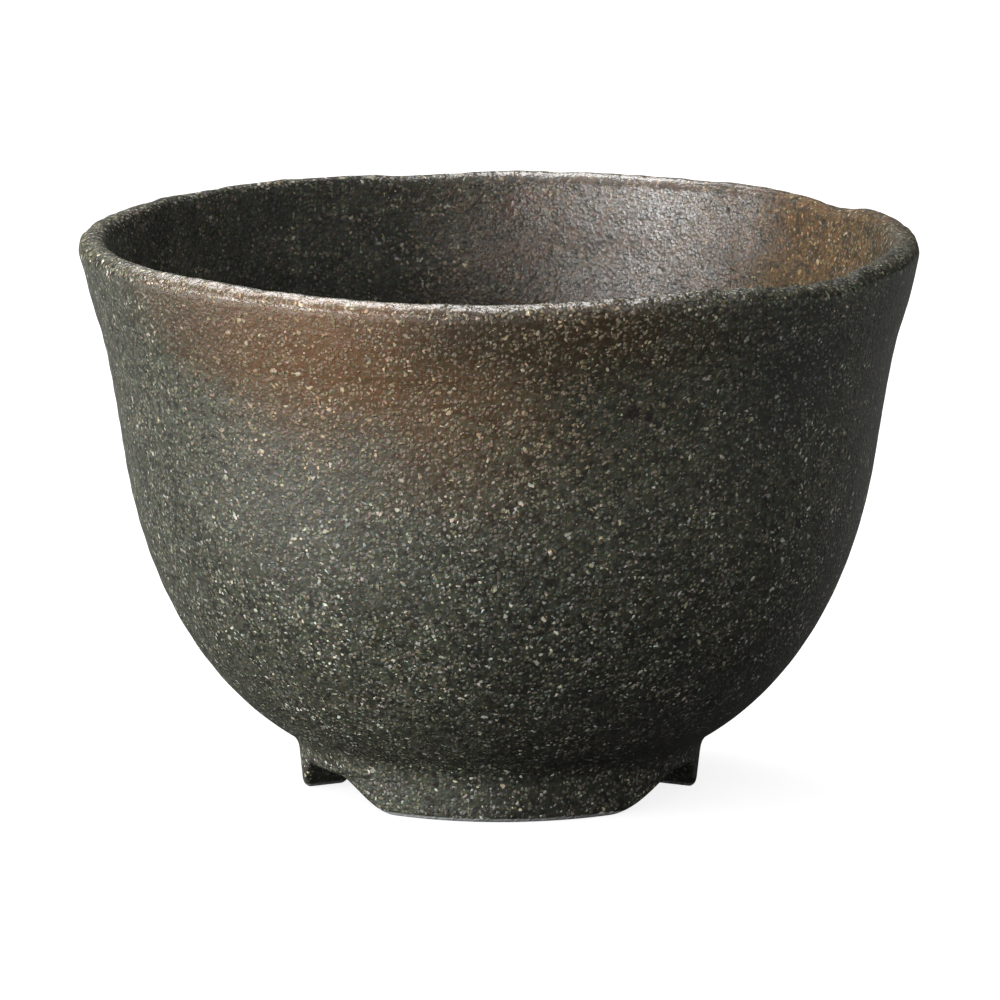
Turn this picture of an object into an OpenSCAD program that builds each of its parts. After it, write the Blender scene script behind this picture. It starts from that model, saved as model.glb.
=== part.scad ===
// Sencha cup of dark speckled stoneware, without a handle: a thrown bowl with a flared lip, a foot ring
// cut by three notches and stuck under the bowl with slip, and a thin glaze that lines the inside.
// Millimetres. +Z is up, the table is z = 0, the axis is the Z axis and the front of the cup faces -Y.

/* [Bowl] */
// Outside diameter of the clay at the lip
mouth_d = 92; // [84:0.2:110]
// Height from the table to the crest of the lip, over the glaze
cup_h = 61.4; // [54:0.2:80]
// Outside diameter at the waist, where the round belly turns into the flare
waist_d = 82.7; // [74:0.1:90]
// Height of the waist above the table
waist_h = 37.7; // [30:0.1:44]
// Lean of the wall from upright at the waist, in degrees
waist_lean = 8.6; // [3:0.1:14]
// Lean of the wall from upright just under the lip, in degrees
lip_lean = 12; // [5:0.5:20]
// Lean of the belly from upright where it leaves the foot, in degrees
base_lean = 62; // [56:1:76]
// Thickness of the wall at the waist, square to the wall
wall_t = 3.2; // [2.2:0.1:5]
// Thickness of the floor at the axis
floor_t = 4.6; // [3:0.1:8]

/* [Lip] */
// Width of the lip between its outer edge and its crest
lip_w = 2.9; // [1.6:0.1:4]
// Drop from the crest of the lip to its outer edge
lip_fall = 1; // [0.3:0.1:1.6]
// Radius of the two edges of the lip
lip_round = 1.3; // [0.3:0.1:1.8]

/* [Foot ring] */
// Outside diameter of the foot ring where it meets the bowl
foot_d = 44.6; // [36:0.2:52]
// How far the foot ring draws in from the bowl to the table
foot_taper = 0.6; // [0:0.1:2]
// Height of the foot ring
foot_h = 5.6; // [4:0.1:10]
// Width of the foot ring at the table
foot_w = 5; // [3.5:0.1:8]
// Radius of the edges on which the cup stands
foot_round = 0.9; // [0.3:0.1:1.4]

/* [Notches] */
// Width of a notch at the table
notch_w = 20; // [12:0.5:24]
// Width of the flat top of a notch
notch_flat = 5; // [0:0.5:9]
// Height of the ring left whole above each notch
collar_h = 2.2; // [0.8:0.1:3]
// Angle between the two notches beside the front lobe, in degrees
front_span = 122; // [115:1:140]

/* [Joint and glaze] */
// Thickness of the slip between the bowl and the foot ring
slip_t = 0.4; // [0.2:0.1:0.8]
// Ledge of the bowl's base outside the foot ring
base_ledge = 0.2; // [0.1:0.1:1]
// Thickness of the liner glaze
glaze_t = 0.3; // [0.15:0.05:0.6]

/* [Hidden] */

// Pull of each end of the curves, as a share of the straight line between the two ends
belly_base_pull = 0.2;
belly_waist_pull = 0.53;
flare_waist_pull = 0.85;
flare_lip_pull = 0.38;
floor_pull = 0.45;
well_waist_pull = 0.55;

// Straight pieces in each curve, in each rounded edge and in each half of a notch, and around the axis
curve_steps = 24;
edge_steps = 8;
notch_steps = 12;
around = 144;

// Room for a cutter to pass through what it cuts
through = 1;

// Most of the lip's and of the ring's width that one rounded edge may take
lip_share = 0.45;
ring_share = 0.35;

// Heights of the joints between the pieces
base_z = foot_h + slip_t;
floor_z = base_z + floor_t;
notch_h = foot_h - collar_h;

// Radii of the foot ring
foot_top_r = foot_d / 2;
foot_table_r = foot_top_r - foot_taper;
foot_bore_r = foot_table_r - foot_w;
foot_edge_r = min(foot_round, ring_share * foot_w);

// Slope of the lip, and what its two rounded edges take off the corners that they round
lip_slope = atan(lip_fall / lip_w);
lip_edge_r = min(lip_round, lip_share * lip_w);
crest_loss = lip_edge_r * (tan((90 - lip_lean + lip_slope) / 2) * sin(lip_slope) - 1 + cos(lip_slope));
mouth_loss = lip_edge_r * (tan((90 + lip_lean - lip_slope) / 2) * sin(lip_lean) - 1 + cos(lip_lean));

// Direction that leans outwards from upright by an angle
function leaning(angle) = [sin(angle), cos(angle)];

// Points of a curve from a to b that leaves a along da and reaches b along db
function curve(a, da, pull_a, b, db, pull_b) =
    let (chord = norm(b - a), c = a + pull_a * chord * da, d = b - pull_b * chord * db)
    [for (i = [0:curve_steps]) let (t = i / curve_steps, s = 1 - t)
        s * s * s * a + 3 * s * s * t * c + 3 * s * t * t * d + t * t * t * b];

// Points of an arc of radius r that rounds the corner b between the lines from a and to c
function rounded(a, b, c, r) =
    let (
        from_a = (b - a) / norm(b - a),
        to_c = (c - b) / norm(c - b),
        turn = atan2(cross(from_a, to_c), from_a * to_c),
        side = sign(turn) * [-from_a[1], from_a[0]],
        start = b - r * tan(abs(turn) / 2) * from_a,
        centre = start + r * side
    )
    [for (i = [0:edge_steps]) let (angle = abs(turn) * i / edge_steps)
        centre + r * (sin(angle) * from_a - cos(angle) * side)];

function reversed(points) = [for (i = [len(points) - 1:-1:0]) points[i]];

// Points with the repeats left out where two stretches share an end
function without_repeats(points) =
    [for (i = [0:len(points) - 1]) if (i == 0 || norm(points[i] - points[max(i - 1, 0)]) > 0.001) points[i]];

// Points set off to the right of a path that ends level at the axis, thinned at its first point
function set_off(points, thickness, first_share) =
    let (last = len(points) - 1)
    [for (i = [0:last])
        let (
            along = points[min(i + 1, last)] - points[max(i - 1, 0)],
            right = i == last ? [0, 1] : [along[1], -along[0]] / norm(along)
        )
        points[i] + thickness * (i == 0 ? first_share : 1) * right];

// Corners of the clay's section, as [radius, height]
base_edge = [foot_top_r + base_ledge, base_z];
waist_out = [waist_d / 2, waist_h];
waist_in = waist_out + wall_t * [-cos(waist_lean), sin(waist_lean)];
lip_crest = [mouth_d / 2 + mouth_loss - lip_w, cup_h - glaze_t + crest_loss];
lip_edge = lip_crest + [lip_w, -lip_fall];
floor_mid = [0, floor_z];

// Where the two faces of the wall become straight, below the lip's rounded edges
lip_straight = 2.2 * lip_edge_r * leaning(lip_lean);
wall_top_out = lip_edge - lip_straight;
wall_top_in = lip_crest - lip_straight;

// The clay's outline in three stretches: up the outside, over the lip, and down the inside to the axis
outside_path = concat(
    curve(base_edge, leaning(base_lean), belly_base_pull, waist_out, leaning(waist_lean), belly_waist_pull),
    curve(waist_out, leaning(waist_lean), flare_waist_pull, wall_top_out, leaning(lip_lean), flare_lip_pull)
);
lip_path = concat(
    rounded(wall_top_out, lip_edge, lip_crest, lip_edge_r),
    rounded(lip_edge, lip_crest, wall_top_in, lip_edge_r)
);
inside_path = reversed(concat(
    curve(floor_mid, leaning(90), floor_pull, waist_in, leaning(waist_lean), well_waist_pull),
    curve(waist_in, leaning(waist_lean), flare_waist_pull, wall_top_in, leaning(lip_lean), flare_lip_pull)
));

// The thrown wall and floor, with a flat base for the foot ring
module bowl() {
    color("#56544a")
    rotate_extrude($fn = around)
    polygon(without_repeats(concat([[0, base_z]], outside_path, lip_path, inside_path)));
}

// One notch: a bell-shaped opening with a flat top, cut outwards through the ring
module notch_cutter() {
    flank = (notch_w - notch_flat) / 2;
    bell = [for (i = [-notch_steps:notch_steps])
        let (x = i / notch_steps * notch_w / 2, fall = max(abs(x) - notch_flat / 2, 0) / flank)
        [x, notch_h * (1 + cos(180 * fall)) / 2]];
    rotate([90, 0, 0])
    linear_extrude(foot_top_r + through)
    polygon(concat([[-notch_w / 2, -through]], bell, [[notch_w / 2, -through]]));
}

// The ring that the cup stands on, left as three lobes between its notches
module foot_ring() {
    top_out = [foot_top_r, foot_h];
    top_in = [foot_bore_r, foot_h];
    table_out = [foot_table_r, 0];
    table_in = [foot_bore_r, 0];
    color("#4c4a41")
    difference() {
        rotate_extrude($fn = around)
        polygon(concat(
            [top_out, top_in],
            rounded(top_in, table_in, table_out, foot_edge_r),
            rounded(table_in, table_out, top_out, foot_edge_r)
        ));
        for (angle = [-front_span / 2, front_span / 2, 180])
            rotate([0, 0, angle]) notch_cutter();
    }
}

// The bed of slip that holds the ring to the bowl, with a bead squeezed out on both sides
module slip_joint() {
    color("#3a3932")
    rotate_extrude($fn = around) {
        translate([foot_bore_r, foot_h]) square([foot_top_r - foot_bore_r, slip_t]);
        for (r = [foot_bore_r, foot_top_r])
            translate([r, foot_h + slip_t / 2]) circle(d = slip_t, $fn = around);
    }
}

// The thin coat that lines the inside and laps over the lip to the middle of its outer edge
module glaze_lining() {
    run_out = 0.4;
    coat = without_repeats(concat(lip_path, inside_path));
    bed = [for (i = [edge_steps / 2:len(coat) - 1]) coat[i]];
    color("#4a4036")
    rotate_extrude($fn = around)
    polygon(concat(bed, reversed(set_off(bed, glaze_t, run_out))));
}

bowl();
foot_ring();
slip_joint();
glaze_lining();
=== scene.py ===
import math

import bpy
import numpy as np
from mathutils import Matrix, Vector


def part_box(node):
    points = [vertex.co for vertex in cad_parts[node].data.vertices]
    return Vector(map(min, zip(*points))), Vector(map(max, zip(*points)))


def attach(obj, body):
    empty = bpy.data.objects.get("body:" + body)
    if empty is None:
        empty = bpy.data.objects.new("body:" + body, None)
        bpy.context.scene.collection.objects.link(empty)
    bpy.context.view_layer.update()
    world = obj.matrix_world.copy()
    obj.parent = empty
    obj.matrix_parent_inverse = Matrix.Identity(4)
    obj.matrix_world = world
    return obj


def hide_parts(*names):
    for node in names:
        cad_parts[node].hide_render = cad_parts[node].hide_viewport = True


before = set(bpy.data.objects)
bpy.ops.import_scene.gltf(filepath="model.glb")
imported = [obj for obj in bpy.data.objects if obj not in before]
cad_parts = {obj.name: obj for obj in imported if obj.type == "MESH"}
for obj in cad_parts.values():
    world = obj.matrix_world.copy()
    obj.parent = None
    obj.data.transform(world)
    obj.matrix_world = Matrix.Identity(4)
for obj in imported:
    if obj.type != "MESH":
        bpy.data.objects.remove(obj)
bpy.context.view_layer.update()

mm = 0.001
scene = bpy.context.scene
scene.view_settings.view_transform = "Standard"
bowlLow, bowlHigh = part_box("bowl")
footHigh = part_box("foot_ring")[1]
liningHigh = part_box("glaze_lining")[1]
print("frame loaded:", ", ".join(sorted(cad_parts)))


# Camera, where the photo was taken from: a long lens, a little above the rim
shot = {"distance": 1.5, "elevation": 10.5, "lens": 490.5, "sensor": 36.0, "aimHeight": 31.8 * mm}


def placeCamera(shot):
    lens = bpy.data.cameras.new("photoLens")
    lens.lens, lens.sensor_width = shot["lens"], shot["sensor"]
    camera = bpy.data.objects.new("photoCamera", lens)
    tilt, distance = math.radians(shot["elevation"]), shot["distance"]
    camera.location = (0, -distance * math.cos(tilt), shot["aimHeight"] + distance * math.sin(tilt))
    camera.rotation_euler = (math.pi / 2 - tilt, 0, 0)
    scene.collection.objects.link(camera)
    scene.camera = camera
    print("camera placed")


placeCamera(shot)


# The cup's section. What the frame measures is taken from it, and the rest is as the solids have it
cupForm = {
    "mouthR": bowlHigh.x,
    "crestZ": bowlHigh.z,
    "baseZ": bowlLow.z,
    "footR": footHigh.x,
    "footH": footHigh.z,
    "glazeT": liningHigh.z - bowlHigh.z,
    "baseLedge": 0.2 * mm,
    "waistR": 41.35 * mm,
    "waistZ": 37.7 * mm,
    "waistLean": 8.6,  # leans are in degrees from upright
    "lipLean": 12,
    "baseLean": 62,
    "floorLean": 90,
    "wallT": 3.2 * mm,
    "floorT": 4.6 * mm,
    "lipW": 2.9 * mm,
    "lipFall": 1.0 * mm,
    "lipRound": 1.3 * mm,
    "lipStraight": 2.2,  # how far the faces run straight below the lip's corners, in radii of its edges
    "bellyPulls": (0.20, 0.53),
    "flarePulls": (0.85, 0.38),
    "wellPulls": (0.45, 0.55),
    "bellyPoints": 72,  # points along each stretch of the section
    "flarePoints": 48,
    "lipOutPoints": 15,
    "lipTopPoints": 6,
    "lipInPoints": 17,
    "throatPoints": 44,
    "wellPoints": 72,
}


def leaning(angle):  # direction that leans outwards from upright by an angle in degrees
    return np.array((math.sin(math.radians(angle)), math.cos(math.radians(angle))))


def curve(a, leanA, b, leanB, pulls, count):
    # cubic from a to b, each end pulled along its lean by a share of the chord
    chord = np.linalg.norm(b - a)
    c = a + pulls[0] * chord * leaning(leanA)
    d = b - pulls[1] * chord * leaning(leanB)
    t = np.linspace(0, 1, count)[:, None]
    s = 1 - t
    return s**3 * a + 3 * s**2 * t * c + 3 * s * t**2 * d + t**3 * b


def rounded(a, b, c, radius, count):  # arc of that radius that touches the lines a-b and b-c at the corner b
    fromA = (b - a) / np.linalg.norm(b - a)
    toC = (c - b) / np.linalg.norm(c - b)
    turn = math.atan2(fromA[0] * toC[1] - fromA[1] * toC[0], fromA @ toC)
    side = math.copysign(1, turn) * np.array((-fromA[1], fromA[0]))
    centre = b - radius * math.tan(abs(turn) / 2) * fromA + radius * side
    angle = np.linspace(0, abs(turn), count)[:, None]
    return centre + radius * (np.sin(angle) * fromA - np.cos(angle) * side)


def cupSection(form):
    # corners as (radius, height); the lip's two corners stand out by what their rounding takes off
    slope = math.atan2(form["lipFall"], form["lipW"])
    lean = math.radians(form["lipLean"])
    crestLoss = math.tan((math.pi / 2 - lean + slope) / 2) * math.sin(slope) - 1 + math.cos(slope)
    mouthLoss = math.tan((math.pi / 2 + lean - slope) / 2) * math.sin(lean) - 1 + math.cos(lean)
    edge = np.array((
        form["mouthR"] + form["lipRound"] * mouthLoss,
        form["crestZ"] + form["lipRound"] * crestLoss - form["lipFall"],
    ))
    crest = edge + (-form["lipW"], form["lipFall"])
    straight = form["lipStraight"] * form["lipRound"] * leaning(form["lipLean"])
    topOut, topIn = edge - straight, crest - straight
    waistOut = np.array((form["waistR"], form["waistZ"]))
    across = leaning(form["waistLean"])
    waistIn = waistOut + form["wallT"] * np.array((-across[1], across[0]))
    base = np.array((form["footR"] + form["baseLedge"], form["baseZ"]))
    floorMid = np.array((0, form["baseZ"] + form["floorT"]))
    waistLean, lipLean, flarePulls = form["waistLean"], form["lipLean"], form["flarePulls"]
    outside = np.vstack((
        curve(base, form["baseLean"], waistOut, waistLean, form["bellyPulls"], form["bellyPoints"]),
        curve(waistOut, waistLean, topOut, lipLean, flarePulls, form["flarePoints"])[1:],
    ))
    outerArc = rounded(topOut, edge, crest, form["lipRound"], form["lipOutPoints"])
    innerArc = rounded(edge, crest, topIn, form["lipRound"], form["lipInPoints"])
    between = np.linspace(outerArc[-1], innerArc[0], form["lipTopPoints"])[1:-1]
    lip = np.vstack((outerArc, between, innerArc))
    inside = np.vstack((
        curve(floorMid, form["floorLean"], waistIn, waistLean, form["wellPulls"], form["wellPoints"]),
        curve(waistIn, waistLean, topIn, lipLean, flarePulls, form["throatPoints"])[1:],
    ))[::-1]
    return outside, lip, inside


outside, lip, inside = cupSection(cupForm)
print("section worked out:", len(outside), "points outside,", len(inside), "inside")


# The hand of the thrower: how the turned form strays from a true circle
thrown = {
    "rimReach": 15 * mm,  # how far down from the lip the rim's waves fade out
    "rimWaves": (  # angle from the front in degrees, height, half width in degrees
        (-8, -0.32 * mm, 24),
        (-46, 0.17 * mm, 12),
        (20, 0.19 * mm, 13),
        (32, 0.24 * mm, 13),
        (51, -0.72 * mm, 10),
        (-121, 0.12 * mm, 9),
        (-143, 0.10 * mm, 12),
        (-168, -0.36 * mm, 9),
        (155, -0.10 * mm, 16),
        (124, -0.50 * mm, 8),
        (120.5, -0.34 * mm, 5),
        (112, 0.20 * mm, 5),
    ),
    "bulgeReach": 4 * mm,  # how far down from the lip its bulges fade out
    "lipBulges": ((-100, 0.46 * mm, 20), (108, 0.15 * mm, 12)),  # angle, reach outwards, half width
    "lipReach": 3 * mm,  # how far down from the lip its small knocks fade out
    "lipKnocks": (  # waves round the rim, depth, phase
        (19, 0.030 * mm, 0.3),
        (31, 0.026 * mm, 1.7),
        (47, 0.024 * mm, 4.1),
        (73, 0.018 * mm, 2.2),
        (101, 0.014 * mm, 5.0),
    ),
    "knockSlant": 0.8 * mm,  # radius over which the phase of a knock moves on by a radian
    "knockOut": 0.6,  # how far a knock goes outwards, as a share of its rise
    "roughTurn": (48, 26, 1.8),  # where the lip is knocked about most: angle, half width, how much more
    "ovals": ((2, 0.12 * mm, 40), (3, 0.07 * mm, -65), (5, 0.04 * mm, 10)),  # lobes, depth, turn in degrees
    "ridgePitch": 3.1 * mm,
    "ridgeDepth": 0.030 * mm,
    "ridgeDrift": ((1, 1.4, -0.6), (3, 0.5, 0.0)),  # waves round the turn, change of the ridges' phase, phase
    "ridgeWander": (2.0, 7 * mm),  # change of the ridges' phase with height, and over what height
    "ridgeFade": (6, 5),  # how fast the ridges grow above the base and fade below the lip
    "ridgeSide": (0.6, 0.4, 0.9),  # mean share of their depth, its change round the turn, phase
    "axisReach": 1 * mm,  # nearer to the axis than this, nothing swells
}


def aroundTurn(count):
    return np.linspace(-math.pi, math.pi, count, endpoint=False)


def awayFrom(angle, centre):  # signed angle from a centre given in degrees, the short way round
    return (angle - math.radians(centre) + math.pi) % (2 * math.pi) - math.pi


def bell(angle, centre, width):  # Gauss curve round the turn, both in degrees
    return np.exp(-(awayFrom(angle, centre) / math.radians(width)) ** 2)


def belled(angle, bells):  # sum of Gauss curves, each with its centre, height and width
    return sum(height * bell(angle, centre, width) for centre, height, width in bells)


def waved(angle, waves, shift=0.0):  # sum of sines round the turn, each with its count, depth and phase
    return sum(depth * np.sin(count * angle + phase + shift) for count, depth, phase in waves)


def eased(t):  # 0 to 1 with level ends
    t = np.clip(t, 0, 1)
    return t * t * (3 - 2 * t)


def strayed(angle, r, z):
    # height: bells round the rim and small waves on the lip, faded below
    # radius: bulges of the lip, slow ovals that grow with height, and turning ridges
    below = cupForm["crestZ"] - z
    share = np.clip((z - cupForm["baseZ"]) / (cupForm["crestZ"] - cupForm["baseZ"]), 0, 1)
    lift = belled(angle, thrown["rimWaves"]) * np.clip(1 - below / thrown["rimReach"], 0, 1) ** 2
    centre, width, more = thrown["roughTurn"]
    knock = waved(angle, thrown["lipKnocks"], (r - cupForm["mouthR"]) / thrown["knockSlant"])
    knock = knock * (1 + more * bell(angle, centre, width)) * eased(1 - below / thrown["lipReach"])
    swell = belled(angle, thrown["lipBulges"]) * eased(1 - below / thrown["bulgeReach"])
    for lobes, depth, turn in thrown["ovals"]:
        swell = swell + depth * share * np.cos(lobes * (angle - math.radians(turn)))
    change, reach = thrown["ridgeWander"]
    phase = waved(angle, thrown["ridgeDrift"]) + change * np.sin(z / reach)
    ridges = np.sin(2 * math.pi * z / thrown["ridgePitch"] + phase)
    grow, fade = thrown["ridgeFade"]
    grip = np.clip(share * grow, 0, 1) * np.clip((1 - share) * fade, 0, 1)
    mean, change, side = thrown["ridgeSide"]
    swell = swell + thrown["ridgeDepth"] * grip * ridges * (mean + change * np.cos(angle + side))
    swell = np.where(r > thrown["axisReach"], swell, 0)
    return r + swell + thrown["knockOut"] * knock, z + lift + knock


def turned(angle, r, z):  # points at a turn from the front (-Y) towards +X
    return np.stack((r * np.sin(angle), -r * np.cos(angle), z), axis=-1)


def addPiece(name, points, node, material, poles):
    # grid of rows by columns: columns close round the axis, rows end in two poles or close on themselves
    rows, columns = points.shape[:2]
    index = np.arange(rows * columns).reshape(rows, columns)
    verts = points.reshape(-1, 3)
    if poles:
        ends = points[[0, -1]].mean(axis=1)
        verts = np.vstack((verts[columns:-columns], ends))
        index = index[1:-1] - columns
        first, last = len(verts) - 2, len(verts) - 1
        low, high = index[:-1], index[1:]
    else:
        low, high = index, np.roll(index, -1, axis=0)
    quads = np.stack((low, np.roll(low, -1, 1), np.roll(high, -1, 1), high), axis=-1).reshape(-1, 4)
    faces = quads.tolist()
    if poles:
        start, stop = index[0], index[-1]
        faces += np.stack((np.full(columns, first), np.roll(start, -1), start), axis=-1).tolist()
        faces += np.stack((stop, np.roll(stop, -1), np.full(columns, last)), axis=-1).tolist()
    mesh = bpy.data.meshes.new(name)
    mesh.from_pydata(verts.tolist(), [], faces)
    mesh.polygons.foreach_set("use_smooth", np.ones(len(faces), dtype=bool))
    mesh.materials.append(material)
    mesh.update()
    piece = bpy.data.objects.new(name, mesh)
    scene.collection.objects.link(piece)
    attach(piece, "root")
    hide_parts(node)
    print("made", name, "with", len(faces), "faces")


# Shader maths: a socket that can be added, multiplied and so on, each step adding its Math node
class Wire:
    def __init__(self, tree, socket):
        self.tree, self.socket = tree, socket

    def node(self, kind, settings=None, sockets=None, out=0):
        made = self.tree.nodes.new(kind)
        for key, value in (settings or {}).items():
            setattr(made, key, value)
        for key, value in (sockets or {}).items():
            if isinstance(value, Wire):
                self.tree.links.new(value.socket, made.inputs[key])
            else:
                made.inputs[key].default_value = value
        return Wire(self.tree, made.outputs[out])

    def out(self, name):
        return Wire(self.tree, self.socket.node.outputs[name])

    def math(self, operation, first, second):
        return self.node("ShaderNodeMath", {"operation": operation}, {0: first, 1: second})

    def __add__(self, other):
        return self.math("ADD", self, other)

    def __sub__(self, other):
        return self.math("SUBTRACT", self, other)

    def __rsub__(self, other):
        return self.math("SUBTRACT", other, self)

    def __mul__(self, other):
        return self.math("MULTIPLY", self, other)

    def __truediv__(self, other):
        return self.math("DIVIDE", self, other)

    def __pow__(self, other):
        return self.math("POWER", self, other)

    __radd__ = __add__

    def atLeast(self, other):
        return self.math("MAXIMUM", self, other)

    def vector(self, operation, other=(0.0, 0.0, 0.0), out=0):
        return self.node("ShaderNodeVectorMath", {"operation": operation}, {0: self, 1: other}, out)

    def scaled(self, share):
        return self.node("ShaderNodeVectorMath", {"operation": "SCALE"}, {0: self, "Scale": share})

    def centred(self):  # a colour of 0 to 1 as a vector about zero
        return self.vector("SUBTRACT", (0.5, 0.5, 0.5))

    def part(self, axis):
        return self.node("ShaderNodeSeparateXYZ", None, {0: self}, axis)

    def smooth(self, low, high):  # 0 below low, 1 above high, eased between; high below low turns it round
        ends = {"Value": self, "From Min": min(low, high), "From Max": max(low, high)}
        ends.update({"To Min": float(low > high), "To Max": float(low < high)})
        return self.node("ShaderNodeMapRange", {"interpolation_type": "SMOOTHSTEP"}, ends)

    def span(self, first, last):  # 0 to 1 stretched to go from first to last
        return self * (last - first) + first

    def between(self, first, last):  # this share of the way from one colour to another
        return self.node("ShaderNodeMix", {"data_type": "RGBA"}, {0: self, 6: first, 7: last}, 2)

    def mixed(self, share, other):  # this colour, going over to the other by a share
        return share.between(self, other)

    def noise(self, scale, detail, rough=0.5):
        sockets = {"Vector": self, "Scale": scale, "Detail": detail, "Roughness": rough}
        return self.node("ShaderNodeTexNoise", None, sockets)

    def patches(self, noise, edge):  # a noise cut into patches with eased edges
        return self.noise(*noise).smooth(*edge)

    def cells(self, size):
        return self.node("ShaderNodeTexVoronoi", None, {"Vector": self, "Scale": 1 / size})


def newMaterial(name):
    material = bpy.data.materials.new(name)
    material.use_nodes = True
    tree = material.node_tree
    tree.nodes.clear()
    place = tree.nodes.new("ShaderNodeTexCoord")
    return material, Wire(tree, place.outputs["Object"]).scaled(1 / mm)  # object coordinates in millimetres


def bumped(point, height, depth):
    return point.node("ShaderNodeBump", None, {"Strength": 1.0, "Distance": depth, "Height": height})


def shaded(point, colour, rough, bump, gloss, ior):
    return point.node("ShaderNodeBsdfPrincipled", None, {
        "Base Color": colour, "Roughness": rough, "Normal": bump, "Specular IOR Level": gloss, "IOR": ior,
    })


def finishMaterial(point, shader):
    end = point.tree.nodes.new("ShaderNodeOutputMaterial")
    point.tree.links.new(shader.socket, end.inputs["Surface"])


# Stoneware: olive-grey clay with a brown flush, smoky patches and pale grit of several sizes
# A noise is (scale, detail, roughness) and an edge is (none at, full at); lengths are millimetres
clayLook = {
    "clay": (0.034, 0.0366, 0.0222, 1),
    "clayPale": (0.066, 0.069, 0.0465, 1),
    "flush": (0.160, 0.076, 0.029, 1),
    # pale colour of a painted sheen on the front left and of a faint painted glow on the right
    "paintedSheen": (0.110, 0.102, 0.082, 1),
    "smoke": (0.030, 0.031, 0.026, 1),
    "singe": (0.034, 0.019, 0.005, 1),
    # dark of the pores between the grains, also used as painted shade low on the right
    "poreAndPaintedShade": (0.009, 0.008, 0.006, 1),
    "pit": (0.020, 0.012, 0.012, 1),
    # pale lower edge of the foot: painted reflection of the floor, and wear
    "wearAndFloorReflection": (0.56, 0.58, 0.58, 1),
    "gritDim": (0.285, 0.278, 0.208, 1),
    "gritBrown": (0.300, 0.218, 0.118, 1),
    "gritPale": (0.86, 0.84, 0.70, 1),
    "gritTan": (0.57, 0.39, 0.21, 1),
    "cloud": ((0.30, 4.0, 0.65), (0.3, 0.7)),  # noise and edge
    "pores": ((1.1, 3.0, 0.6), (0.55, 0.37)),
    "poreShare": 0.8,
    "drift": (0.09, 2.0),
    "driftTurn": 18,  # how far the zones wander, in degrees of turn and in height
    "driftHeight": 6,
    "zones": {  # edges to the left and right in degrees from the front, below and above; most share
        "flush": {"left": (-68, -30), "right": (18, -27), "low": (30, 52), "slant": 0.28, "most": 0.85},
        "singe": {"left": (-26, -2), "right": (42, 14), "low": (50, 58), "most": 0.85},
        "singeLeft": {"left": (-64, -50), "right": (-18, -34), "low": (52, 58), "most": 0.4},
        "warm": {"left": (-75, -35), "right": (40, 6), "low": (32, 48)},
        # painted sheen: paler where the key light's reflection falls, below the brown
        "paintedSheen": {"left": (-52, -32), "right": (-4, -24), "low": (21, 34), "high": (52, 42), "most": 0.35},
        # faint painted glow: a little paler on the right
        "paintedGlow": {"left": (6, 20), "right": (50, 36), "low": (24, 36), "high": (57, 50), "most": 0.0875},
        "smoke": {"left": (30, 46), "right": (62, 48), "low": (36, 46), "high": (66, 54), "most": 0.7},
        "lipSmoke": {"left": (12, 34), "right": (118, 96), "low": (56, 60), "most": 0.245},
        # painted shade: darker low on the right, where the light falls off
        "paintedShade": {"left": (-16, 6), "right": (120, 90), "high": (46, 12), "most": 0.48},
    },
    "paintedShadeRadius": (8, 18),
    "ragged": (2.2, 1.0),
    "raggedPush": 0.4,
    "fineCell": 0.42,
    "fineEdge": (0.70, 0.25),
    "fineContrast": 2.0,
    "grit": (  # cell, half length and half width of a grain, share kept, seed
        (0.64, 0.33, 0.165, 0.85, 3.1),
        (1.25, 0.48, 0.25, 0.55, 17.7),
    ),
    "seedShift": (1.0, 0.7, 1.3),
    "grainSizes": (0.6, 1.2),
    "grainEdge": (1.0, 0.3),
    "keepEdge": 0.01,
    "paleContrast": 1.6,
    "grainCover": (0.3, 1.0),  # how well the dimmest and the brightest grain covers the clay
    "warmShare": 0.7,
    "crowd": ((0.2, 3.0), (0.3, 0.68)),  # where grit lies denser, and from what share to what share
    "crowdShare": (0.45, 1.15),
    "hue": (2.6, 2.0),
    "hueReach": (1.4, 0.5, 1.7),
    "gritShare": 1.14,  # on the low belly; then what it loses high up, far left and high on the right
    "gritHigh": ((14, 42), 0.28),
    "gritLeft": ((-14, -38), 0.3),
    "gritRight": ((4, 26), (28, 46), 0.2),
    "packedHeight": (6, 40),
    "packed": (0.64, 1.0),
    "rough": (0.50, 0.1, 0.1),  # of the clay, and what fine grit and stones add
    "relief": (1.0, 0.6, 1.4),  # of fine grit, stones and lumps
    "lumps": (1.3, 3.0, 0.6),
    "reliefDepth": 0.12 * mm,
    "shine": (0.6, 1.5),  # gloss and index
    "pits": ((19.2, 48.9, 0.9), (21.6, 48.4, 0.6), (-101, 30, 0.8), (163, 24, 0.9)),  # angle, height, radius
    "pitEdge": (1.2, 0.5),  # in radii of the pit
    "pitShare": 0.85,
    "paleEdgeHeight": (0.55, 0.30),
    "paleEdgeShare": (0.9, 0.3),  # on the lower edge, with painted reflection of the floor and wear, and in the bare patches of the standing face
    "bare": ((0.5, 4.0, 0.65), (0.40, 0.62)),
    "bareHeight": (0.16, 0.06),
}


def mottled(point, tones):  # cloudy change between two tones
    return point.patches(*clayLook["cloud"]).between(*tones)


def turnOf(point, side):  # degrees round the axis, plus to the right, from the front (-1) or the back (1)
    return point.math("ARCTAN2", point.part(0), point.part(1) * float(side)) * (180 / math.pi)


def radiusOf(point):  # distance from the axis
    return point.vector("MULTIPLY", (1.0, 1.0, 0.0)).vector("LENGTH", out="Value")


def poreMask(point):  # small dark hollows between the grains
    return point.patches(*clayLook["pores"])


def zoneShare(turn, height, zone):
    # eased edges to the left and the right, below and above, all multiplied; a slant tilts the lower one
    share = turn.smooth(*zone["left"]) * turn.smooth(*zone["right"])
    if "slant" in zone:
        height = height + turn * zone["slant"]
    for edge in ("low", "high"):
        if edge in zone:
            share = share * height.smooth(*zone[edge])
    return share * zone.get("most", 1.0)


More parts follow.
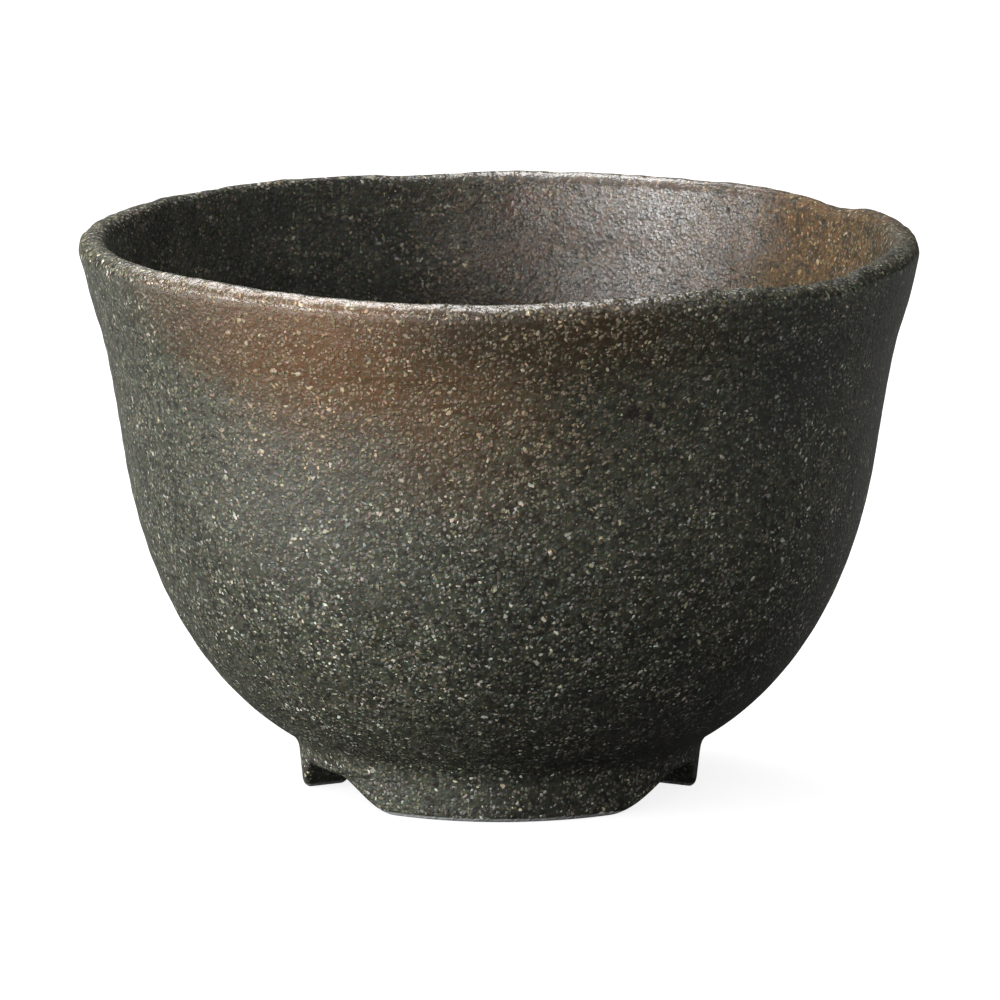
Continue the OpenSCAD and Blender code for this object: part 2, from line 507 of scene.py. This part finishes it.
def clayGround(point, look):
    # mottled clay with painted shade low on the right, browned by the flame on the front left and singed
    # under the rim, a painted sheen paler below the brown, a faint painted glow on the right, smoky on the
    # right
    drift = point.noise(*look["drift"]) - 0.5
    turn = turnOf(point, -1) + drift * look["driftTurn"]
    height = point.part(2) + drift * look["driftHeight"]
    zone = {name: zoneShare(turn, height, place) for name, place in look["zones"].items()}
    # painted shade low on the right, kept off the underside near the axis
    paintedShade = zone["paintedShade"] * radiusOf(point).smooth(*look["paintedShadeRadius"])
    colour = mottled(point, (look["clay"], look["clayPale"]))
    colour = colour.mixed(poreMask(point) * look["poreShare"], look["poreAndPaintedShade"]).mixed(paintedShade, look["poreAndPaintedShade"])
    colour = colour.mixed(zone["flush"], look["flush"])
    colour = colour.mixed(zone["singe"].atLeast(zone["singeLeft"]), look["singe"])
    # painted sheen and painted glow: the paler colour where reflected light would be
    colour = colour.mixed(zone["paintedSheen"].atLeast(zone["paintedGlow"]), look["paintedSheen"])
    colour = colour.mixed(zone["smoke"].atLeast(zone["lipSmoke"]), look["smoke"])
    return colour, zone["warm"]


def raggedPoint(point):  # the point pushed about a little, so that grains have ragged outlines
    push = point.noise(*clayLook["ragged"]).out("Color").centred()
    return point.vector("ADD", push.scaled(clayLook["raggedPush"]))


def fineGrit(point, look):
    # packed crushed stone: each cell of a 3-D Voronoi has its own shade, fading out towards its neighbours
    cells = point.cells(look["fineCell"])
    return cells.smooth(*look["fineEdge"]) * cells.out("Color").part(0) ** look["fineContrast"]


def gritLayer(point, look, cell, length, width, keep, seed):
    # each cell of a 3-D Voronoi holds one grain: an ellipsoid about the cell's point, along a random axis
    shifted = point.vector("ADD", tuple(seed * share for share in look["seedShift"]))
    cells = shifted.cells(cell)
    middle = cells.out("Position")
    chance = middle.node("ShaderNodeTexWhiteNoise", None, {"Vector": middle})
    axis = cells.out("Color").centred().vector("NORMALIZE")
    away = shifted.vector("SUBTRACT", middle)
    along = away.vector("DOT_PRODUCT", axis, "Value")
    across = away.vector("DOT_PRODUCT", away, "Value") - along * along
    size = chance.out("Color").part(0).span(*look["grainSizes"])
    reach = (along * along / length**2 + across / width**2) / (size * size)
    kept = chance.smooth(1 - keep, 1 - keep + look["keepEdge"])
    return reach.smooth(*look["grainEdge"]) * kept, chance.out("Color").part(1)


def tinted(point, colour, look):  # each grain a little redder, greener or bluer than the next
    hue = point.noise(*look["hue"]).out("Color").centred().vector("MULTIPLY", look["hueReach"])
    return colour.vector("MULTIPLY", hue.vector("ADD", (1.0, 1.0, 1.0)))


def gritted(point, colour, look, warm, share, packed):
    # fine grit, as far as it is packed, and stones laid over a colour, denser in places, tan where it is warm
    ragged = raggedPoint(point)
    crowd = point.patches(*look["crowd"]).span(*look["crowdShare"]) * share
    warmed = warm * look["warmShare"]
    fine = fineGrit(ragged, look)
    colour = colour.mixed(fine * crowd * packed, warmed.between(look["gritDim"], look["gritBrown"]))
    stones = None
    for layer in look["grit"]:
        grain, bright = gritLayer(ragged, look, *layer)
        tint = (bright ** look["paleContrast"]).between(look["gritDim"], look["gritPale"])
        tint = tint.mixed(warmed, look["gritTan"])
        colour = colour.mixed(grain * crowd * bright.span(*look["grainCover"]), tint)
        stones = grain if stones is None else stones.atLeast(grain)
    return tinted(point, colour, look), fine, stones


def pitted(point, colour, look):  # a few small dark burnt spots at given places on the outside
    ragged = raggedPoint(point)
    outer, inner = look["pitEdge"]
    for angle, height, radius in look["pits"]:
        r = np.interp(height * mm, outside[:, 1], outside[:, 0]) / mm
        place = turned(math.radians(angle), r, height)
        spot = ragged.vector("DISTANCE", tuple(place), "Value").smooth(radius * outer, radius * inner)
        colour = colour.mixed(spot * look["pitShare"], look["pit"])
    return colour


def gritOnClay(point, look):  # how much grit lies here, and how far the fine grit is packed
    x, z = point.part(0), point.part(2)
    high, highLoss = look["gritHigh"]
    left, leftLoss = look["gritLeft"]
    right, above, rightLoss = look["gritRight"]
    share = look["gritShare"] - z.smooth(*high) * highLoss - x.smooth(*left) * leftLoss
    share = share - x.smooth(*right) * z.smooth(*above) * rightLoss
    return share, z.smooth(*look["packedHeight"]).span(*look["packed"])


def wearAndReflectionOnFoot(point, look):  # pale lower edge: painted reflection of the floor and wear where it rubs on the table, patchy on the standing face
    bare = point.patches(*look["bare"]) * point.part(2).smooth(*look["bareHeight"])
    return point.part(2).smooth(*look["paleEdgeHeight"]) * bare.span(*look["paleEdgeShare"])


def clayMaterial(look):
    material, point = newMaterial("speckledClay")
    ground, warm = clayGround(point, look)
    colour, fine, stones = gritted(point, ground, look, warm, *gritOnClay(point, look))
    rough, fineRough, stoneRough = look["rough"]
    fineRise, stoneRise, lumpRise = look["relief"]
    height = fine * fineRise + stones * stoneRise + point.noise(*look["lumps"]) * lumpRise
    bump = bumped(point, height, look["reliefDepth"])
    # pale lower edge of the foot: painted reflection of the floor, and wear
    colour = pitted(point, colour, look).mixed(wearAndReflectionOnFoot(point, look), look["wearAndFloorReflection"])
    rough = rough + fine * fineRough + stones * stoneRough
    finishMaterial(point, shaded(point, colour, rough, bump, *look["shine"]))
    return material


# Lining: a thin brown glaze over the same clay, ochre on the right, dark on the left, with a pebbled shine
# Noises and edges are as in the clay; turns are from the back, apart from the flame's
liningLook = {
    "dark": (0.019, 0.020, 0.016, 1),
    "darkPale": (0.041, 0.042, 0.032, 1),
    "rust": (0.098, 0.060, 0.038, 1),
    "ochre": (0.122, 0.080, 0.024, 1),
    "ochreTop": (0.112, 0.063, 0.025, 1),
    "drift": (0.12, 2.0),
    "driftTurn": 24,
    "wallRadius": (12, 36),  # what goes by the turn stays off the middle of the floor
    "rustZone": {"left": (-22, 16), "right": (74, 46)},
    "ochreZone": {"left": (36, 52), "right": (110, 64), "low": (36, 46)},
    "flameZone": {"left": (-78, -46), "right": (44, 22), "low": (39, 42)},  # its low edge is a radius
    "patches": ((0.55, 3.0, 0.6), (0.36, 0.62)),
    "patchShare": (0.45, 1.0),
    "ochreHeight": (46, 56),
    "ochreShare": 0.9,
    "poreShare": 0.6,
    "lipTurn": (43.8, 44.9),  # radii between which the lip goes over from glaze to clay colours
    "lipSide": (28, 40),  # where on the right that begins a millimetre further out
    "lipGrain": (43.0, 43.8),
    "warm": (0.3, 0.9),
    "gritShare": 0.23,  # grit all over, then what it gains on the right, in the ochre and on the lip
    "gritTurn": ((-40, -4), 0.2),
    "gritOchre": 0.15,
    "gritLip": ((30, -20), (0.3, 1.2)),
    "flameEdge": (45.0, 45.9),
    "flameShare": (0.85, 0.6),
    "sheenLeft": (-18, 18),
    "sheenRight": (54, 20),
    "sheenLip": 14,  # how many degrees earlier the sheen begins on the lip
    "floorShine": 0.4,
    "pebble": 0.40,
    "pebbleRise": 0.5,
    "pebbleNoises": (((2.4, 2.0, 0.6), 0.45), ((1.1, 1.0), 0.5)),  # noise and rise
    "pebbleLip": 0.65,  # how much less pebbled the lip is
    "waves": ((0.6, 1.0), 1.3),
    "relief": (0.35, 0.3),  # of fine grit and stones
    "reliefShare": (0.75, 0.7, 0.8, 2.4),  # all over, more on the lip, more where dry, more on the dry lip
    "reliefDepth": 0.12 * mm,
    "fineRough": 0.1,
    "dry": (0.62, 0.2, 1.5),  # roughness, gloss and index where the glaze is thin, then where it is thick
    "wet": (0.27, 1.0, 1.6),
}


def glazeColour(point, look, rust, ochre):
    # dark mottled glaze with patchy rust and ochre, darker in the pores
    patchy = point.patches(*look["patches"]).span(*look["patchShare"])
    ochreTone = point.part(2).smooth(*look["ochreHeight"]).between(look["ochre"], look["ochreTop"])
    glaze = mottled(point, (look["dark"], look["darkPale"])).mixed(rust * patchy, look["rust"])
    glaze = glaze.mixed(ochre * patchy * look["ochreShare"], ochreTone)
    return glaze.mixed(poreMask(point) * look["poreShare"], look["dark"])


def glazeShine(point, look, turn, radius, wall, lipGrain):
    # thick glaze on the lip's front, less on its outer edge, in the sheen at the back, some on the floor
    flame = zoneShare(turnOf(point, -1), radius, look["flameZone"])
    flame = flame * radius.smooth(*look["flameEdge"]).span(*look["flameShare"])
    sheen = (turn + lipGrain * look["sheenLip"]).smooth(*look["sheenLeft"])
    sheen = sheen * turn.smooth(*look["sheenRight"]) * wall
    return flame.atLeast(sheen + (1 - wall) * look["floorShine"])


def glazeBump(point, look, fine, stones, lipGrain, shine):
    # pebbles domed by the square of the way from their middles, grit and slow waves, deeper where dry
    pebble = raggedPoint(point).cells(look["pebble"])
    pebble = (1 - pebble * pebble) * look["pebbleRise"]
    for noise, rise in look["pebbleNoises"]:
        pebble = pebble + point.noise(*noise) * rise
    fineRise, stoneRise = look["relief"]
    waves, waveRise = look["waves"]
    height = fine * fineRise + stones * stoneRise + pebble * (1 - lipGrain * look["pebbleLip"])
    height = height + point.noise(*waves) * waveRise
    everywhere, onLip, whereDry, onDryLip = look["reliefShare"]
    share = lipGrain * onLip + (1 - shine) * (whereDry + lipGrain * onDryLip) + everywhere
    return bumped(point, height * share, look["reliefDepth"])


def liningMaterial(look):
    material, point = newMaterial("liningGlaze")
    x, z, radius = point.part(0), point.part(2), radiusOf(point)
    turn = turnOf(point, 1) + (point.noise(*look["drift"]) - 0.5) * look["driftTurn"]
    wall = radius.smooth(*look["wallRadius"])
    rust = zoneShare(turn, z, look["rustZone"]) * wall
    ochre = zoneShare(turn, z, look["ochreZone"])
    ground, lipWarm = clayGround(point, clayLook)
    lipShare = (radius - x.smooth(*look["lipSide"])).smooth(*look["lipTurn"])
    lipGrain = radius.smooth(*look["lipGrain"])
    warm = (lipWarm * lipShare).atLeast((rust + ochre).span(*look["warm"]))
    gritTurn, gritMore = look["gritTurn"]
    gritSide, gritLip = look["gritLip"]
    share = turn.smooth(*gritTurn) * wall * gritMore + look["gritShare"] + ochre * look["gritOchre"]
    share = share + lipGrain * x.smooth(*gritSide).span(*gritLip)
    colour = glazeColour(point, look, rust, ochre).mixed(lipShare, ground)
    colour, fine, stones = gritted(point, colour, clayLook, warm, share, 1.0)
    shine = glazeShine(point, look, turn, radius, wall, lipGrain)
    bump = glazeBump(point, look, fine, stones, lipGrain, shine)
    dry, wet = (
        shaded(point, colour, fine * look["fineRough"] + rough, bump, gloss, ior)
        for rough, gloss, ior in (look["dry"], look["wet"])
    )
    finishMaterial(point, point.node("ShaderNodeMixShader", None, {0: shine, 1: dry, 2: wet}))
    return material


clay = clayMaterial(clayLook)
lining = liningMaterial(liningLook)
print("materials written")


def swept(path, columns):  # a section carried round the axis, with the thrower's hand in it
    angle = aroundTurn(columns)[None, :]
    r, z = strayed(angle, path[:, :1] + 0 * angle, path[:, 1:] + 0 * angle)
    return turned(angle, r, z)


# Inside, where the glaze hides the clay, one point in four is kept
bowlForm = {"columns": 480, "basePoints": 8, "insideStep": 4}


def bowlSurface(form):
    # base disc, up the outside, over the lip and down the inside to the floor, turned round the axis
    base = np.linspace((0, cupForm["baseZ"]), outside[0], form["basePoints"])[:-1]
    path = np.vstack((base, outside, lip[1:], inside[form["insideStep"]::form["insideStep"]]))
    path[-1] = inside[-1]
    return swept(path, form["columns"])


coatForm = {
    "columns": 480,
    "start": 2,  # first point of the lip that is coated
    "sink": 0.06 * mm,  # depth of that edge under the clay's face
    "rise": 1.8 * mm,  # length over which the coat grows to its full thickness
    "bury": 0.15 * mm,  # depth of its hidden face under the clay's
    "hiddenStep": 4,
}


def liningSurface(form):
    # the clay's own path from the floor out to the lip, then that path set off, rising out of the clay's edge
    bed = np.vstack((lip[form["start"]:], inside[1:]))
    step = np.gradient(bed, axis=0)
    step[-1] = (-1, 0)
    right = np.stack((step[:, 1], -step[:, 0]), axis=-1) / np.linalg.norm(step, axis=1)[:, None]
    run = np.concatenate(((0,), np.cumsum(np.linalg.norm(np.diff(bed, axis=0), axis=1))))[:, None]
    thick = (cupForm["glazeT"] + form["sink"]) * eased(run / form["rise"]) - form["sink"]
    hidden = bed - form["bury"] * right
    path = np.vstack((hidden[::-form["hiddenStep"]][:-1], hidden[:1], bed + thick * right))
    path[[0, -1], 0] = 0
    return swept(path, form["columns"])


footForm = {
    "columns": 600,
    "taper": 0.6 * mm,
    "width": 5 * mm,
    "edge": 0.9 * mm,
    "notches": (  # angle from the front, height, then to the left and right: flat top's end, flank's foot
        (-61, 3.4 * mm, (4.9 * mm, 8.6 * mm), (2.3 * mm, 9.9 * mm)),
        (61, 3.4 * mm, (-1.0 * mm, 9.5 * mm), (5.3 * mm, 8.8 * mm)),
        (180, 3.4 * mm, (2.5 * mm, 10.0 * mm), (3.0 * mm, 10.2 * mm)),
    ),
    "wobble": ((3, 0.08 * mm, 0.7), (7, 0.05 * mm, 2.1)),  # waves round the ring, depth, phase
    "wallPoints": 14,
    "edgePoints": 9,
    "facePoints": 10,
    "borePoints": 10,
    "topPoints": 6,
}


def footSurface(form):
    # ring section squeezed upwards by the notches: each a level top with eased flanks
    topR, height = cupForm["footR"], cupForm["footH"]
    tableR = topR - form["taper"]
    bore = tableR - form["width"]
    corners = [np.array(p) for p in ((topR, height), (tableR, 0), (bore, 0), (bore, height))]
    outerEdge = rounded(corners[0], corners[1], corners[2], form["edge"], form["edgePoints"])
    innerEdge = rounded(corners[1], corners[2], corners[3], form["edge"], form["edgePoints"])
    path = np.vstack((
        np.linspace(corners[0], outerEdge[0], form["wallPoints"])[:-1],
        outerEdge,
        np.linspace(outerEdge[-1], innerEdge[0], form["facePoints"])[1:-1],
        innerEdge,
        np.linspace(innerEdge[-1], corners[3], form["borePoints"])[1:],
        np.linspace(corners[3], corners[0], form["topPoints"])[1:-1],
    ))[::-1]
    angle = aroundTurn(form["columns"])[None, :]
    r, z = path[:, :1] + 0 * angle, path[:, 1:] + 0 * angle
    lift = np.zeros_like(z)
    for centre, top, (flatLeft, reachLeft), (flatRight, reachRight) in form["notches"]:
        away = awayFrom(angle, centre)
        offset = np.where(np.abs(away) < math.pi / 2, r * np.sin(away), reachRight)
        left = eased((reachLeft + offset) / (reachLeft - flatLeft))
        right = eased((reachRight - offset) / (reachRight - flatRight))
        lift = np.maximum(lift, top * np.minimum(left, right))
    wobble = waved(angle, form["wobble"])
    return turned(angle, r + wobble * (1 - z / height), lift + z * (height - lift) / height)


slipForm = {
    "columns": 360,
    "outReach": 1.9 * mm,  # along the belly, down the ring's outside, and both ways in the inner crease
    "wallReach": 1.6 * mm,
    "inReach": 0.9 * mm,
    "cornerDrop": 0.05 * mm,
    "bury": 0.35 * mm,  # how far each end runs on into the clay
    "tuck": 0.5,  # how far it turns inwards there, as a share of that
    "points": 14,
    "bellyPoints": 40,  # points of the outside, from the base, that the fillet can end on
}


def fillet(a, corner, b, form):
    # hollow curve from a to b drawn towards their corner, run on into the clay at both ends
    t = np.linspace(0, 1, form["points"])[:, None]
    bend = (1 - t) ** 2 * a + 2 * t * (1 - t) * corner + t**2 * b
    start = bend[0] - (corner - a) / np.linalg.norm(corner - a) * form["bury"]
    stop = bend[-1] + (b - corner) / np.linalg.norm(b - corner) * form["bury"]
    middle = (a + b) / 2 - corner
    inwards = -middle / np.linalg.norm(middle) * form["bury"] * form["tuck"]
    return np.vstack((start + inwards, bend, stop + inwards))


def slipSurface(form):
    # hollow fillets in the outer and the inner crease, joined through the clay between them
    topR, height, baseZ = cupForm["footR"], cupForm["footH"], cupForm["baseZ"]
    bore = topR - footForm["taper"] - footForm["width"]
    onWall = topR - footForm["taper"] * form["wallReach"] / height
    reach = topR + form["outReach"]
    outer = fillet(
        np.array((onWall, height - form["wallReach"])),
        np.array((topR, baseZ - form["cornerDrop"])),
        np.array((reach, np.interp(reach, *outside[:form["bellyPoints"]].T))),
        form,
    )
    inner = fillet(
        np.array((bore - form["inReach"], baseZ)),
        np.array((bore, baseZ)),
        np.array((bore, height - form["inReach"])),
        form,
    )
    path = np.vstack((outer, inner))
    angle = aroundTurn(form["columns"])[None, :]
    return turned(angle, path[:, :1] + 0 * angle, path[:, 1:] + 0 * angle)


addPiece("clayBowl", bowlSurface(bowlForm), "bowl", clay, True)
addPiece("linerGlaze", liningSurface(coatForm), "glaze_lining", lining, True)
addPiece("footRing", footSurface(footForm), "foot_ring", clay, False)
addPiece("slipBead", slipSurface(slipForm), "slip_joint", clay, False)


# Stage: a pale floor and soft light, keyed from the left
stageLook = {
    "ambient": 0.34,
    "mirrored": 0.08,
    "floorSize": 6.0,
    "floorSeen": (0.35, 0.35, 0.35, 1),
    "floorOther": (0.05, 0.05, 0.05, 1),
    "floorGlow": 0.84,
    "floorGloss": (0.03, 0.28),  # how bright reflections see it, ahead of the cup and behind
    "floorGlossEdge": (-0.02, 0.15),
    "lampAim": 35 * mm,
    "lamps": (  # name, turn from the front and height in degrees, distance, width, depth, watts
        ("keyBox", -72, 8.5, 0.50, 0.32, 0.22, 2.58),
        ("sheenBox", -31, 10.5, 0.50, 0.38, 0.15, 0.93),
        ("sideBox", -98, 26, 0.50, 0.25, 0.25, 0.4),
        ("fillBox", 46, 46, 0.60, 0.40, 0.40, 0.74),
        ("backBox", -158, 54, 0.60, 0.32, 0.40, 2.8),
        ("topBox", -60, 78, 0.60, 0.50, 0.50, 0.7),
        ("frontBox", -40, 48, 0.60, 0.50, 0.45, 0.24),
    ),
}


def addLamps(look):
    aim = np.array((0, 0, look["lampAim"]))
    for name, turn, height, distance, width, depth, watts in look["lamps"]:
        lamp = bpy.data.lights.new(name, "AREA")
        lamp.shape, lamp.size, lamp.size_y, lamp.energy = "RECTANGLE", width, depth, watts
        turn, height = math.radians(turn), math.radians(height)
        level = math.cos(height)
        back = np.array((math.sin(turn) * level, -math.cos(turn) * level, math.sin(height)))
        box = bpy.data.objects.new(name, lamp)
        box.location = aim + distance * back
        box.rotation_euler = (math.pi / 2 - height, 0, turn)
        scene.collection.objects.link(box)
        print("lamp", name)


def addFloor(look):
    # pale to the camera, dim to other rays, brighter behind the cup in reflections, clear from below
    half = look["floorSize"] / 2
    corners = [(-half, -half, 0), (half, -half, 0), (half, half, 0), (-half, half, 0)]
    mesh = bpy.data.meshes.new("floor")
    mesh.from_pydata(corners, [], [(0, 1, 2, 3)])
    material = bpy.data.materials.new("paleFloor")
    material.use_nodes = True
    tree = material.node_tree
    tree.nodes.clear()
    rays = Wire(tree, tree.nodes.new("ShaderNodeLightPath").outputs["Is Camera Ray"])
    seen = rays + rays.out("Is Transmission Ray")
    matt = rays.node("ShaderNodeBsdfDiffuse", None, {
        "Color": seen.between(look["floorOther"], look["floorSeen"]),
    })
    place = Wire(tree, tree.nodes.new("ShaderNodeTexCoord").outputs["Object"])
    sheen = place.part(1).smooth(*look["floorGlossEdge"]).span(*look["floorGloss"])
    shine = seen * look["floorGlow"] + rays.out("Is Glossy Ray") * sheen
    paintedGlow = rays.node("ShaderNodeEmission", None, {"Strength": shine})
    both = rays.node("ShaderNodeAddShader", None, {0: matt, 1: paintedGlow})
    clear = rays.node("ShaderNodeBsdfTransparent")
    under = rays.node("ShaderNodeNewGeometry").out("Backfacing")
    finishMaterial(rays, rays.node("ShaderNodeMixShader", None, {0: under, 1: both, 2: clear}))
    mesh.materials.append(material)
    floor = bpy.data.objects.new("floor", mesh)
    scene.collection.objects.link(floor)


def lightWorld(look):
    # white to the camera, dim in reflections, and an even low light otherwise
    world = bpy.data.worlds.new("studio")
    world.use_nodes = True
    world.cycles.sampling_method = "NONE"
    tree = world.node_tree
    tree.nodes.clear()
    rays = Wire(tree, tree.nodes.new("ShaderNodeLightPath").outputs["Is Camera Ray"])
    seen = rays + rays.out("Is Transmission Ray")
    mirrored = rays.out("Is Glossy Ray")
    level = seen + mirrored * look["mirrored"] + (1 - seen - mirrored) * look["ambient"]
    sky = rays.node("ShaderNodeBackground", None, {"Color": (1, 1, 1, 1), "Strength": level})
    end = tree.nodes.new("ShaderNodeOutputWorld")
    tree.links.new(sky.socket, end.inputs["Surface"])
    scene.world = world


addLamps(stageLook)
addFloor(stageLook)
lightWorld(stageLook)
print("stage lit")
